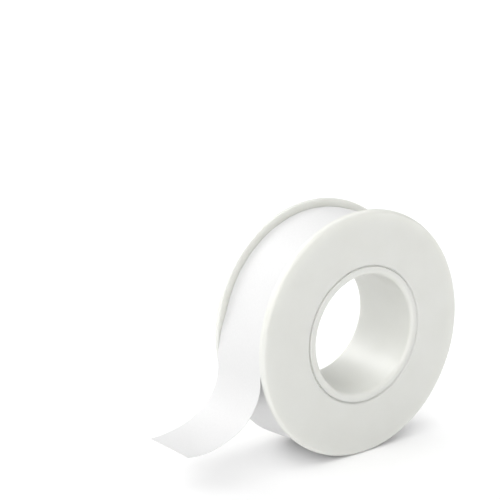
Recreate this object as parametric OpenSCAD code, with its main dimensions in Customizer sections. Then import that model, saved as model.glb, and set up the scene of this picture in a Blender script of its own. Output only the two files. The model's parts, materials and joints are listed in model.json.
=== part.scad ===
// Thread seal tape roll: a moulded spool of a tube and two flanges, wound with thin white tape.
// The roll stands on its rims. +Z is up, the bore runs along Y, the front flange faces -Y,
// and the origin is at the middle of the bore. All sizes are in millimetres.

/* [Spool] */
// Outside diameter of each flange
flange_d = 44; // [42:0.5:60]
// Thickness of each flange
flange_t = 1.1; // [0.9:0.05:1.8]
// Rounding of a flange's rim on its outer face
rim_round = 0.65; // [0.3:0.05:1.2]
// Rounding of a flange's rim on the side of the tape
inner_rim_round = 0.15; // [0.05:0.05:0.3]
// Diameter of the bore
bore_d = 21.4; // [17:0.2:23]
// Wall of the tube's end spigots
tube_wall = 1.5; // [1.2:0.05:2]
// Height of the shoulder that a flange seats on
shoulder_h = 0.9; // [0.5:0.05:1.2]
// Rounding of the bore's two mouths
lip_round = 0.7; // [0.3:0.05:1]
// Chamfer on both sides of the ring-shaped seam between tube and flange
seam_chamfer = 0.25; // [0.1:0.05:0.35]
// Radial clearance between a spigot and its flange
spigot_fit = 0.03; // [0.01:0.01:0.06]

/* [Tape] */
// Width of the tape
tape_w = 12; // [10:0.5:19]
// Thickness of the tape
tape_t = 0.1; // [0.08:0.01:0.2]
// Outside diameter of the wound tape
winding_d = 41; // [36:0.5:41.5]
// Clearance between each edge of the tape and the flange beside it
side_gap = 0.15; // [0.1:0.05:0.4]
// Radial clearance under the inner turns
core_fit = 0.05; // [0.02:0.01:0.1]
// Radial clearance between the inner turns and the outer turn
turn_gap = 0.1; // [0.05:0.01:0.2]
// Angle that the outer turn covers before it lifts off
turn_angle = 326; // [300:1:328]

/* [Free end] */
// Place on the roll where the tape lifts off, from +X towards +Z
lift_angle = 140; // [120:1:160]
// Radius of the bulge where the tape comes away from the roll
bulge_r = 26; // [25:0.5:34]
// Angle that the bulge turns through
bulge_turn = 42; // [35:1:45]
// Radius of the outward curl under the bulge
curl_r = 9; // [7:0.5:14]
// Angle that the curl turns through
curl_turn = 62; // [50:1:70]
// Radius of the flatter stretch at the cut end
end_r = 16; // [10:0.5:30]
// Angle that the stretch at the cut end turns through
end_turn = 35; // [20:1:40]

/* [Hidden] */
$fn = 96;

plastic_colour = [0.88, 0.88, 0.85];
tape_colour = [0.98, 0.98, 0.98];

bore_r = bore_d / 2;
flange_r = flange_d / 2;
spigot_r = bore_r + tube_wall;
shoulder_r = spigot_r + shoulder_h;
inside_half = tape_w / 2 + side_gap;
overall_half = inside_half + flange_t;

// Each rounding is held inside the wall that it is cut in
rim_r = min(rim_round, flange_t - inner_rim_round);
lip_r = min(lip_round, tube_wall - seam_chamfer);

// The outer turn sinks by one thickness of tape over its length
winding_r = winding_d / 2;
turn_r = winding_r - tape_t / 2;
wound_r = turn_r - 1.5 * tape_t - turn_gap;
wound_inner_r = shoulder_r + core_fit;

// Cutters reach past the faces that they cut
cut_over = 0.5;

// Steps along each stretch of the strip
turn_steps = 120;
bulge_steps = 16;
curl_steps = 20;
end_steps = 10;

// Profiles of turned pieces: x is the radius and y the distance along the bore towards the front

// What a rounding takes off a corner at the origin, on a body that lies towards -X and -Y
module round_off(r) {
    translate([-r, -r])
        difference() {
            square(r + cut_over);
            circle(r);
        }
}

// What a chamfer takes off the same corner
module chamfer_off(c) {
    polygon([[-c - cut_over, cut_over], [cut_over, cut_over], [cut_over, -c - cut_over]]);
}

module flange_profile() {
    hole_r = spigot_r + spigot_fit;
    translate([0, inside_half])
        difference() {
            translate([hole_r, 0])
                square([flange_r - hole_r, flange_t]);
            translate([flange_r, flange_t])
                round_off(rim_r);
            translate([flange_r, 0])
                mirror([0, 1])
                    round_off(inner_rim_round);
            translate([hole_r, flange_t])
                mirror([1, 0])
                    chamfer_off(seam_chamfer);
        }
}

module tube_profile() {
    difference() {
        union() {
            translate([bore_r, -overall_half])
                square([tube_wall, 2 * overall_half]);
            translate([bore_r, -inside_half])
                square([shoulder_r - bore_r, 2 * inside_half]);
        }
        for (side = [0, 1])
            mirror([0, side])
                translate([0, overall_half]) {
                    translate([bore_r, 0])
                        mirror([1, 0])
                            round_off(lip_r);
                    translate([spigot_r, 0])
                        chamfer_off(seam_chamfer);
                }
    }
}

module wound_profile() {
    translate([wound_inner_r, -tape_w / 2])
        square([wound_r - wound_inner_r, tape_w]);
}

// Turns a profile about the bore's axis, with its +Y towards the front
module turned() {
    rotate([90, 0, 0])
        rotate_extrude()
            children();
}

// The strip of tape, seen from the front. A state is [x, z, heading] on the middle of its thickness.

function turn_state(i) =
    let (a = lift_angle - turn_angle * (1 - i / turn_steps),
         r = turn_r - tape_t * (1 - i / turn_steps))
    [r * cos(a), r * sin(a), a + 90];

// The state after an arc from state s, to the left for a positive turn and to the right for a negative one
function arc_state(s, r, turn) =
    let (h = s[2], k = sign(turn) * r)
    [s[0] + k * (sin(h + turn) - sin(h)), s[1] + k * (cos(h) - cos(h + turn)), h + turn];

function arc_states(s, r, turn, steps) = [for (i = [1 : steps]) arc_state(s, r, turn * i / steps)];

function side_point(s, d) = [s[0] - d * sin(s[2]), s[1] + d * cos(s[2])];

turn_states = [for (i = [0 : turn_steps]) turn_state(i)];
lift_state = turn_state(turn_steps);
bulge_states = arc_states(lift_state, bulge_r, bulge_turn, bulge_steps);
bulge_end = arc_state(lift_state, bulge_r, bulge_turn);
curl_states = arc_states(bulge_end, curl_r, -curl_turn, curl_steps);
curl_end = arc_state(bulge_end, curl_r, -curl_turn);
end_states = arc_states(curl_end, end_r, -end_turn, end_steps);
free_states = concat([lift_state], bulge_states, curl_states, end_states);
strip_states = concat(turn_states, bulge_states, curl_states, end_states);
strip_last = len(strip_states) - 1;

// Least gap between stretches of the strip that lie more than a quarter of a turn apart along it
quarter_turn = round(turn_steps * 90 / turn_angle);
strip_gap = min([for (i = [0 : strip_last - quarter_turn], j = [i + quarter_turn : strip_last])
    norm(side_point(strip_states[i], 0) - side_point(strip_states[j], 0))]) - tape_t;
echo(least_gap_of_strip_to_itself_mm = strip_gap);

free_length = (bulge_r * bulge_turn + curl_r * curl_turn + end_r * end_turn) * PI / 180;
strip_length = turn_r * turn_angle * PI / 180 + free_length;
echo(free_end_length_mm = free_length, strip_length_mm = strip_length);

// A stretch of the strip at its full width
module strip(states) {
    last = len(states) - 1;
    rotate([90, 0, 0])
        linear_extrude(tape_w, center = true)
            polygon(concat(
                [for (i = [0 : last]) side_point(states[i], tape_t / 2)],
                [for (i = [last : -1 : 0]) side_point(states[i], -tape_t / 2)]));
}

module core_tube() {
    color(plastic_colour)
        turned()
            tube_profile();
}

module front_flange() {
    color(plastic_colour)
        turned()
            flange_profile();
}

module rear_flange() {
    color(plastic_colour)
        mirror([0, 1, 0])
            turned()
                flange_profile();
}

module wound_tape() {
    color(tape_colour)
        turned()
            wound_profile();
}

module outer_turn() {
    color(tape_colour)
        strip(turn_states);
}

module free_end() {
    color(tape_colour)
        strip(free_states);
}

core_tube();
front_flange();
rear_flange();
wound_tape();
outer_turn();
free_end();
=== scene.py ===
"""A roll of thread seal tape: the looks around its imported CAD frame, in metres."""

import json
import math

import bpy
import numpy as np
from mathutils import Matrix, Vector


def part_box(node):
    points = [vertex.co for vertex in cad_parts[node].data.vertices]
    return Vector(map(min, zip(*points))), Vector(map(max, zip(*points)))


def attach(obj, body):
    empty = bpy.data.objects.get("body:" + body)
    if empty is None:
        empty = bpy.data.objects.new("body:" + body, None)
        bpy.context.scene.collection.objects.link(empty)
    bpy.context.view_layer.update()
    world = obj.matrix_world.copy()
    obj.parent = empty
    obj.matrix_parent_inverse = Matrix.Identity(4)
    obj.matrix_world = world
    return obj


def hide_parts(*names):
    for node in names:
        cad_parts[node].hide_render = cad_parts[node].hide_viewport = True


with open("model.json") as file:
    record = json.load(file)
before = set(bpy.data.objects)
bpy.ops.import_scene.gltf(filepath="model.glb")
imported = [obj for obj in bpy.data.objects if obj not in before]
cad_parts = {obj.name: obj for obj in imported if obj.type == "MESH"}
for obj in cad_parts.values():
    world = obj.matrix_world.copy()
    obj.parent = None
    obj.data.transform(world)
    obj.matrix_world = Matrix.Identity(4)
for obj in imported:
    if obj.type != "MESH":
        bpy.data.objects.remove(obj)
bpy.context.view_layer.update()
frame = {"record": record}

MM = 0.001

# The camera, as fitted to the photograph's 500 by 500 frame
IMAGE_PX = 500
CAMERA_AZIMUTH = math.radians(-34.8)
CAMERA_ELEVATION = math.radians(13.15)
CAMERA_DISTANCE = 187 * MM
CAMERA_NEAREST = 10 * MM
FOCAL_PX = 1045.6
BORE_CENTRE_PX = (339.2, 324.9)
SENSOR_MM = 36.0

# The studio's lights: degrees from the front towards +X, degrees above the floor, tightness and brightness
BROAD, TIGHT = 9, 32
SOFT_LIGHTS = [
    (72, 64, BROAD, 1.5),
    (144, 64, BROAD, 1.3),
    (200, 38, TIGHT, 4.9),
    (210, 10, BROAD, 1.95),
    (280, 38, BROAD, 1.75),
    (320, 38, BROAD, 2.4),
    (330, 10, TIGHT, 2.2),
]

# The floor, in metres: flat out to one radius, then rising to its edge
FLOOR_FLAT_R = 2.0
FLOOR_EDGE_R = 3.5
FLOOR_EDGE_H = 0.5
FLOOR_RINGS = 12
FLOOR_SPOKES = 96
FLOOR_COLOUR = (0.95, 0.95, 0.95)

# The range that a noise mostly keeps to
NOISE_LOW, NOISE_HIGH = 0.3, 0.7

# The plastic's colour and roughness at the two ends of that range, and the size of each of its noises
PLASTIC_DARK = (0.605, 0.609, 0.577)
PLASTIC_LIGHT = (0.625, 0.63, 0.6)
PLASTIC_ROUGHNESS = (0.3, 0.37)
CLOUD_SIZE = 6 * MM
HANDLING_SIZE = 2.5 * MM
GRAIN_SIZE = 0.3 * MM
GRAIN_H = 0.01 * MM

# The tape's colour and roughness in the same way, and the size of each noise across and along the tape
TAPE_DARK = (0.63, 0.63, 0.63)
TAPE_LIGHT = (0.65, 0.65, 0.65)
TAPE_ROUGHNESS = (0.44, 0.54)
STREAK_SIZE = (0.25 * MM, 5 * MM)
CROSS_RIPPLE_SIZE = (9 * MM, 2.5 * MM)
SPECK_SIZE = (0.3 * MM, 0.5 * MM)
STREAK_H = 0.008 * MM
CROSS_RIPPLE_H = 0.05 * MM

# The spool's sizes that its solids share
TUBE_WALL = 1.5 * MM
RIM_ROUND = 0.65 * MM
INNER_RIM_ROUND = 0.15 * MM
LIP_ROUND = 0.7 * MM

# The groove along the seam, closed to a hairline at its bottom, and the rounding of the tube's shoulder
FLANGE_SEAM_W = 0.35 * MM
TUBE_SEAM_W = 0.15 * MM
SEAM_D = 0.25 * MM
SEAM_ROUND = 0.1 * MM
SEAM_GAP = 0.002 * MM
SHOULDER_ROUND = 0.06 * MM
SPOOL_SPOKES = 288

# The tape's sizes that its solids share
TAPE_W = 12 * MM
TAPE_T = 0.1 * MM
WINDING_R = 20.5 * MM
CORE_FIT = 0.05 * MM
TURN_ANGLE = math.radians(326)
LIFT_ANGLE = math.radians(140)
BULGE_R, BULGE_TURN = 26 * MM, math.radians(42)
CURL_R, CURL_TURN = 9 * MM, math.radians(62)
END_R, END_TURN = 16 * MM, math.radians(35)
TURN_LENGTH = WINDING_R * TURN_ANGLE
FREE_LENGTH = BULGE_R * BULGE_TURN + CURL_R * CURL_TURN + END_R * END_TURN
STRIP_LENGTH = TURN_LENGTH + FREE_LENGTH

# The longest step along the strip's mesh, and its columns across
STRIP_STEP = 0.35 * MM
STRIP_COLUMNS = 24

# The tape's edges spread against the flanges, by less than their gap
EDGE_SPREAD = 0.12 * MM

# The outer turn's loose start: its angle, and how far its middle and its rear edge stand off the roll
LOOSE_ANGLE = math.radians(130)
LOOSE_MIDDLE_H = 1.5 * MM
LOOSE_REAR_H = 2.15 * MM

# The free end's slight twist, as the lean of its rear edge at some shares of its length, and its ripple
TWIST_SHARES = (0.05, 0.25, 0.45, 1)
TWIST_H = (0, 0.35 * MM, -0.2 * MM, 0.45 * MM)
RIPPLE_H = 0.04 * MM
RIPPLE_L = 7 * MM
RIPPLE_SKEW = 3

# The inner turns: their uneven edges, with grooves between, and the part of each turn that its edge takes up
CORE_TURNS = 22
CORE_SPOKES = 144
CORE_COLUMNS = 6
EDGE_WANDER = 0.05 * MM
EDGE_LOBES = 3
EDGE_PHASE = 1.7
EDGE_GROOVE = 0.08 * MM
EDGE_PART = (0.2, 0.8)

# Places read from the frame
FLANGE_LOW, FLANGE_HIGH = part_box("front_flange")
FLANGE_R = FLANGE_HIGH.x
FLANGE_T = FLANGE_HIGH.y - FLANGE_LOW.y
INSIDE_HALF = -FLANGE_HIGH.y
OVERALL_HALF = -FLANGE_LOW.y
SHOULDER_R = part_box("core_tube")[1].x
CORE_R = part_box("wound_tape")[1].x
BORE_R = next(m["dims"]["r_mm"] for m in frame["record"]["mounts"] if m["name"] == "bore") * MM
SPIGOT_R = BORE_R + TUBE_WALL
FLOOR_Z = -FLANGE_R


def camera():
    """A camera that sees the bore's centre at its pixel in the photograph."""
    ca, sa = math.cos(CAMERA_AZIMUTH), math.sin(CAMERA_AZIMUTH)
    ce, se = math.cos(CAMERA_ELEVATION), math.sin(CAMERA_ELEVATION)
    back = Vector((sa * ce, -ca * ce, se))
    right = Vector((ca, sa, 0))
    up = back.cross(right)
    middle = IMAGE_PX / 2
    aside = (BORE_CENTRE_PX[0] - middle) / FOCAL_PX * CAMERA_DISTANCE
    above = (middle - BORE_CENTRE_PX[1]) / FOCAL_PX * CAMERA_DISTANCE
    data = bpy.data.cameras.new("camera")
    data.sensor_width = SENSOR_MM
    data.lens = SENSOR_MM * FOCAL_PX / IMAGE_PX
    data.clip_start = CAMERA_NEAREST
    obj = bpy.data.objects.new("camera", data)
    place = back * CAMERA_DISTANCE - right * aside - up * above
    obj.matrix_world = Matrix.Translation(place) @ Matrix((right, up, back)).transposed().to_4x4()
    bpy.context.scene.collection.objects.link(obj)
    bpy.context.scene.camera = obj


def add_node(tree, kind, inputs, **settings):
    """Adds a shader node, with each input set to a value or linked to another node's output."""
    node = tree.nodes.new("ShaderNode" + kind)
    for name, value in settings.items():
        setattr(node, name, value)
    for key, value in inputs.items():
        if isinstance(value, bpy.types.NodeSocket):
            tree.links.new(value, node.inputs[key])
        else:
            node.inputs[key].default_value = value
    return node


def add_math(tree, operation, *values):
    """The result of a maths node on numbers or on other nodes' outputs."""
    return add_node(tree, "Math", dict(enumerate(values)), operation=operation).outputs["Value"]


def add_noise(tree, place, size, detail=2):
    """A noise of about one swell in each size, in metres where the place is."""
    inputs = {"Vector": place, "Scale": 1 / size, "Detail": detail}
    return add_node(tree, "TexNoise", inputs).outputs["Fac"]


def add_bump(tree, noise, strength, depth, under=None):
    """The normal of a surface that follows a noise, on top of another bump's normal if there is one."""
    inputs = {"Height": noise, "Strength": strength, "Distance": depth}
    if under is not None:
        inputs["Normal"] = under
    return add_node(tree, "Bump", inputs).outputs["Normal"]


def spread(tree, noise, low, high):
    """A number that follows a noise's usual range from low to high."""
    inputs = {"Value": noise, "From Min": NOISE_LOW, "From Max": NOISE_HIGH}
    inputs.update({"To Min": low, "To Max": high})
    return add_node(tree, "MapRange", inputs).outputs["Result"]


def tint(tree, noise, dark, light):
    """A colour that follows a noise's usual range from dark to light."""
    ramp = add_node(tree, "ValToRGB", {"Fac": noise})
    for stop, position, colour in zip(ramp.color_ramp.elements, (NOISE_LOW, NOISE_HIGH), (dark, light)):
        stop.position = position
        stop.color = (*colour, 1)
    return ramp.outputs["Color"]


def new_material(name, **sockets):
    """A material whose shader has the named sockets set, with _ for a space."""
    material = bpy.data.materials.new(name)
    material.use_nodes = True
    shader = material.node_tree.nodes["Principled BSDF"]
    for socket, value in sockets.items():
        shader.inputs[socket.replace("_", " ")].default_value = value
    return material, material.node_tree, shader


def link_looks(tree, shader, colour, roughness, normal):
    """Links what varies over a surface to its shader."""
    for socket, output in (("Base Color", colour), ("Roughness", roughness), ("Normal", normal)):
        tree.links.new(output, shader.inputs[socket])


def floor_material():
    """A matt pale floor."""
    return new_material(
        "pale_floor",
        Base_Color=(*FLOOR_COLOUR, 1),
        Roughness=0.9,
        Specular_IOR_Level=0.1,
    )[0]


def plastic_material():
    """Satin moulded plastic: faint clouding in its colour, a fine moulded grain and an uneven gloss."""
    material, tree, shader = new_material(
        "moulded_plastic",
        Specular_IOR_Level=1.0,
        Subsurface_Weight=0.75,
        Subsurface_Radius=(1, 1, 0.95),
        Subsurface_Scale=2 * MM,
    )
    place = add_node(tree, "TexCoord", {}).outputs["Object"]
    clouds = add_noise(tree, place, CLOUD_SIZE, detail=3)
    handling = add_noise(tree, place, HANDLING_SIZE, detail=4)
    grain = add_noise(tree, place, GRAIN_SIZE)
    colour = tint(tree, clouds, PLASTIC_DARK, PLASTIC_LIGHT)
    roughness = spread(tree, handling, *PLASTIC_ROUGHNESS)
    normal = add_bump(tree, grain, strength=0.2, depth=GRAIN_H)
    link_looks(tree, shader, colour, roughness, normal)
    return material


def tape_material():
    """Soft white film, drawn lengthwise: fine streaks along it, faint cross ripples and a low sheen."""
    material, tree, shader = new_material(
        "seal_tape",
        Specular_IOR_Level=0.3,
        Subsurface_Weight=1.0,
        Subsurface_Radius=(1, 1, 1),
        Subsurface_Scale=0.04 * MM,
    )
    flat = add_node(tree, "TexCoord", {}).outputs["UV"]

    def stretched_noise(across, along):
        counts = (TAPE_W / across, STRIP_LENGTH / along, 1)
        place = add_node(tree, "Mapping", {"Vector": flat, "Scale": counts}).outputs["Vector"]
        return add_noise(tree, place, 1)

    streaks = stretched_noise(*STREAK_SIZE)
    ripples = stretched_noise(*CROSS_RIPPLE_SIZE)
    specks = stretched_noise(*SPECK_SIZE)
    colour = tint(tree, specks, TAPE_DARK, TAPE_LIGHT)
    roughness = spread(tree, streaks, *TAPE_ROUGHNESS)
    streaked = add_bump(tree, streaks, strength=0.25, depth=STREAK_H)
    normal = add_bump(tree, ripples, strength=0.2, depth=CROSS_RIPPLE_H, under=streaked)
    link_looks(tree, shader, colour, roughness, normal)
    return material


def mesh_object(name, points, faces, material, sharp, uvs=None):
    """A smooth mesh, crisp at edges over the sharp angle in degrees, with a UV for each face's corners."""
    mesh = bpy.data.meshes.new(name)
    mesh.from_pydata([tuple(p) for p in points], [], faces)
    mesh.materials.append(material)
    mesh.shade_smooth()
    mesh.set_sharp_from_angle(angle=math.radians(sharp))
    if uvs is not None:
        layer = mesh.uv_layers.new(name="flat")
        layer.data.foreach_set("uv", np.array(uvs, dtype=np.float32).ravel())
    mesh.update()
    obj = bpy.data.objects.new(name, mesh)
    bpy.context.scene.collection.objects.link(obj)
    return obj


def rounded(corners, steps=10):
    """A closed outline through (x, y, radius) corners, with an arc at each corner that has a radius."""
    outline = []
    for i, (x, y, radius) in enumerate(corners):
        here = Vector((x, y))
        before = (Vector(corners[i - 1][:2]) - here).normalized()
        after = (Vector(corners[(i + 1) % len(corners)][:2]) - here).normalized()
        if not radius:
            outline.append(here)
            continue
        half = before.angle(after) / 2
        centre = here + (before + after).normalized() * radius / math.sin(half)
        start = here + before * radius / math.tan(half) - centre
        sweep = start.angle_signed(here + after * radius / math.tan(half) - centre)
        for k in range(steps + 1):
            a = -sweep * k / steps
            turned_x = start.x * math.cos(a) - start.y * math.sin(a)
            turned_y = start.x * math.sin(a) + start.y * math.cos(a)
            outline.append(centre + Vector((turned_x, turned_y)))
    return outline


def around(section, a):
    """The points of a (radius, y) section at an angle about the Y axis."""
    return [(r * math.cos(a), y, r * math.sin(a)) for r, y in section]


def ring_faces(rings, count):
    """The faces of a closed band through rings of count points each, the last joined to the first."""
    faces = []
    for j in range(rings):
        a, b = j * count, (j + 1) % rings * count
        for i in range(count):
            k = (i + 1) % count
            faces.append((a + i, a + k, b + k, b + i))
    return faces


def lathe(name, outline, material):
    """Turns a closed outline of (radius, y) about the Y axis."""
    points = []
    for j in range(SPOOL_SPOKES):
        points += around(outline, math.tau * j / SPOOL_SPOKES)
    faces = ring_faces(SPOOL_SPOKES, len(outline))
    return mesh_object(name, points, faces, material, sharp=35)


def flange(name, side, material):
    """A flange, towards -Y for a side of -1, as a turned piece in place of its solid."""
    hole_r = SPIGOT_R + SEAM_GAP
    corners = [
        (hole_r, 0, 0),
        (FLANGE_R, 0, INNER_RIM_ROUND),
        (FLANGE_R, FLANGE_T, RIM_ROUND),
        (hole_r + FLANGE_SEAM_W, FLANGE_T, SEAM_ROUND),
        (hole_r, FLANGE_T - SEAM_D, 0),
    ]
    outline = [(r, side * (INSIDE_HALF + y)) for r, y in rounded(corners)]
    obj = lathe(name + "_disc", outline[::side], material)
    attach(obj, "spool")
    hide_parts(name)


def tube(material):
    """The bored tube between the flanges, as a turned piece in place of its solid."""
    end = [
        (BORE_R, OVERALL_HALF, LIP_ROUND),
        (SPIGOT_R - TUBE_SEAM_W, OVERALL_HALF, SEAM_ROUND),
        (SPIGOT_R, OVERALL_HALF - SEAM_D, 0),
        (SPIGOT_R, INSIDE_HALF, 0),
        (SHOULDER_R, INSIDE_HALF, SHOULDER_ROUND),
    ]
    corners = end + [(r, -y, rounding) for r, y, rounding in reversed(end)]
    outline = rounded(corners)
    obj = lathe("bore_tube", outline[::-1], material)
    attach(obj, "spool")
    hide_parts("core_tube")


def core_section(share):
    """The inner turns cut through at a share of the way round: their edges wander, with grooves between."""
    inner_r = SHOULDER_R + CORE_FIT
    top_r = CORE_R - TAPE_T * (1 - share)
    pitch = (top_r - inner_r) / CORE_TURNS
    half = TAPE_W / 2 + EDGE_SPREAD
    groove_y = half - EDGE_GROOVE
    side = [(inner_r, groove_y)]
    for turn in range(CORE_TURNS):
        lobes = turn % EDGE_LOBES + 1
        wander = 0.5 + 0.5 * math.sin(EDGE_PHASE * turn + math.tau * lobes * share)
        edge_y = half - EDGE_WANDER * wander
        start_r = inner_r + pitch * turn
        side += [(start_r + part * pitch, edge_y) for part in EDGE_PART]
        side.append((start_r + pitch, groove_y))
    front = [(r, -y) for r, y in side]
    across = np.linspace(-groove_y, groove_y, CORE_COLUMNS + 1)[1:-1]
    return front + [(top_r, y) for y in across] + side[::-1]


def core(material):
    """The inner turns as one ring, whose top turn climbs by its thickness to where the outer turn starts."""
    start = LIFT_ANGLE - TURN_ANGLE
    once_round = math.tau * CORE_R / STRIP_LENGTH
    points, flat = [], []
    for j in range(CORE_SPOKES):
        share = j / CORE_SPOKES
        section = core_section(share)
        points += around(section, start + math.tau * share)
        flat += [((y + r - CORE_R) / TAPE_W, share * once_round) for r, y in section]
    count = len(points) // CORE_SPOKES
    faces = ring_faces(CORE_SPOKES, count)
    uvs = []
    for face in faces:
        # The last faces end on the first ring, once round from where it began
        closing = face[0] >= (CORE_SPOKES - 1) * count
        uvs += [(flat[i][0], flat[i][1] + once_round * (closing and i < count)) for i in face]
    obj = mesh_object("tape_core", points, faces, material, sharp=60, uvs=uvs)
    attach(obj, "spool")
    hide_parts("wound_tape")


def arc(states, radius, turn):
    """Adds an arc to a path of (x, z, heading), to the left for a positive turn."""
    x, z, heading = states[-1]
    steps = max(2, math.ceil(abs(turn) * radius / STRIP_STEP))
    k = math.copysign(radius, turn)
    for i in range(1, steps + 1):
        h = heading + turn * i / steps
        arc_x = x + k * (math.sin(h) - math.sin(heading))
        arc_z = z + k * (math.cos(heading) - math.cos(h))
        states.append((arc_x, arc_z, h))


def strip_path():
    """The middle of the strip's thickness, from the start of the outer turn to the cut end."""
    turn_r = WINDING_R - TAPE_T / 2
    steps = math.ceil(TURN_ANGLE * turn_r / STRIP_STEP)
    states = []
    for i in range(steps + 1):
        left = 1 - i / steps
        a = LIFT_ANGLE - TURN_ANGLE * left
        r = turn_r - TAPE_T * left
        states.append((r * math.cos(a), r * math.sin(a), a + math.pi / 2))
    arc(states, BULGE_R, BULGE_TURN)
    arc(states, CURL_R, -CURL_TURN)
    arc(states, END_R, -END_TURN)
    return np.array(states)


def free_share(along):
    """How much of the free end lies before a place along the strip: 0 on the roll, 1 at the cut end."""
    return max(0, along - TURN_LENGTH) / FREE_LENGTH


def slack(along, y):
    """How far the outer turn's loose start stands off the roll, most at its rear edge."""
    share = min(1, along / (WINDING_R * LOOSE_ANGLE))
    height = LOOSE_MIDDLE_H + (LOOSE_REAR_H - LOOSE_MIDDLE_H) * 2 * y / TAPE_W
    return height * math.sin(math.pi * share) ** 2


def sway(along, y):
    """How far inwards the strip lies from its path: the free end's twist and ripple, less the slack."""
    free = free_share(along)
    twist = np.interp(free, TWIST_SHARES, TWIST_H) * 2 * y / TAPE_W
    wave = math.sin(math.tau * along / RIPPLE_L + RIPPLE_SKEW * y / TAPE_W)
    return twist + RIPPLE_H * free * wave - slack(along, y)


def strip_faces(rows, columns):
    """The faces of a thin strip, whose outer points come first and then its inner ones, row by row."""

    def index(side, row, column):
        return side * rows * columns + row * columns + column

    faces = []
    for r in range(rows - 1):
        for c in range(columns - 1):
            outer = [index(0, r, c), index(0, r + 1, c), index(0, r + 1, c + 1), index(0, r, c + 1)]
            inner = [index(1, r, c), index(1, r, c + 1), index(1, r + 1, c + 1), index(1, r + 1, c)]
            faces += [outer, inner]
        for c, flip in ((0, True), (columns - 1, False)):
            edge = [index(0, r, c), index(0, r + 1, c), index(1, r + 1, c), index(1, r, c)]
            faces.append(edge[::-1] if flip else edge)
    for r, flip in ((0, False), (rows - 1, True)):
        for c in range(columns - 1):
            end = [index(0, r, c), index(0, r, c + 1), index(1, r, c + 1), index(1, r, c)]
            faces.append(end[::-1] if flip else end)
    return faces


def strip(material):
    """The outer turn and the free end as one strip of tape."""
    states = strip_path()
    along = np.concatenate([[0], np.cumsum(np.hypot(*np.diff(states[:, :2], axis=0).T))])
    across = np.linspace(-1, 1, STRIP_COLUMNS + 1)
    points, flat = [], []
    for side in (-1, 1):
        for (x, z, heading), distance in zip(states, along):
            half = TAPE_W / 2 + EDGE_SPREAD * (1 - free_share(distance))
            for y in across * half:
                inwards = side * TAPE_T / 2 + sway(distance, y)
                points.append((x - inwards * math.sin(heading), y, z + inwards * math.cos(heading)))
                flat.append((y / TAPE_W + 0.5, distance / along[-1]))
    faces = strip_faces(len(states), len(across))
    uvs = [flat[i] for face in faces for i in face]
    obj = mesh_object("tape_strip", points, faces, material, sharp=40, uvs=uvs)
    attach(obj, "tape_end")
    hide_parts("outer_turn", "free_end")


def floor():
    """A pale floor that rises towards its edge, far off on all sides."""
    points = [(0, 0, FLOOR_Z)]
    for i in range(FLOOR_RINGS + 1):
        t = i / FLOOR_RINGS
        r = FLOOR_FLAT_R + (FLOOR_EDGE_R - FLOOR_FLAT_R) * t
        for j in range(FLOOR_SPOKES):
            a = math.tau * j / FLOOR_SPOKES
            points.append((r * math.cos(a), r * math.sin(a), FLOOR_Z + FLOOR_EDGE_H * t * t))
    faces = [(0, 1 + j, 1 + (j + 1) % FLOOR_SPOKES) for j in range(FLOOR_SPOKES)]
    for i in range(FLOOR_RINGS):
        a, b = 1 + i * FLOOR_SPOKES, 1 + (i + 1) * FLOOR_SPOKES
        for j in range(FLOOR_SPOKES):
            k = (j + 1) % FLOOR_SPOKES
            faces.append((a + j, b + j, b + k, a + k))
    mesh_object("floor", points, faces, floor_material(), sharp=60)


def lights():
    """A dark room with a soft round light in each of a few directions."""
    world = bpy.data.worlds.new("studio")
    world.use_nodes = True
    tree = world.node_tree
    direction = add_node(tree, "TexCoord", {}).outputs["Generated"]
    total = 0.0
    for azimuth, elevation, tightness, strength in SOFT_LIGHTS:
        a, e = math.radians(azimuth), math.radians(elevation)
        middle = (math.sin(a) * math.cos(e), -math.cos(a) * math.cos(e), math.sin(e))
        near = add_node(tree, "VectorMath", {0: direction, 1: middle}, operation="DOT_PRODUCT")
        fall = add_math(tree, "MULTIPLY_ADD", near.outputs["Value"], tightness, -tightness)
        glow = add_math(tree, "EXPONENT", fall)
        total = add_math(tree, "MULTIPLY_ADD", glow, strength, total)
    background = tree.nodes["Background"]
    background.inputs["Color"].default_value = (1, 1, 1, 1)
    tree.links.new(total, background.inputs["Strength"])
    bpy.context.scene.world = world


camera()
lights()
floor()
bpy.context.scene.view_settings.view_transform = "Standard"

plastic = plastic_material()
tape = tape_material()
tube(plastic)
flange("front_flange", -1, plastic)
flange("rear_flange", 1, plastic)
core(tape)
strip(tape)
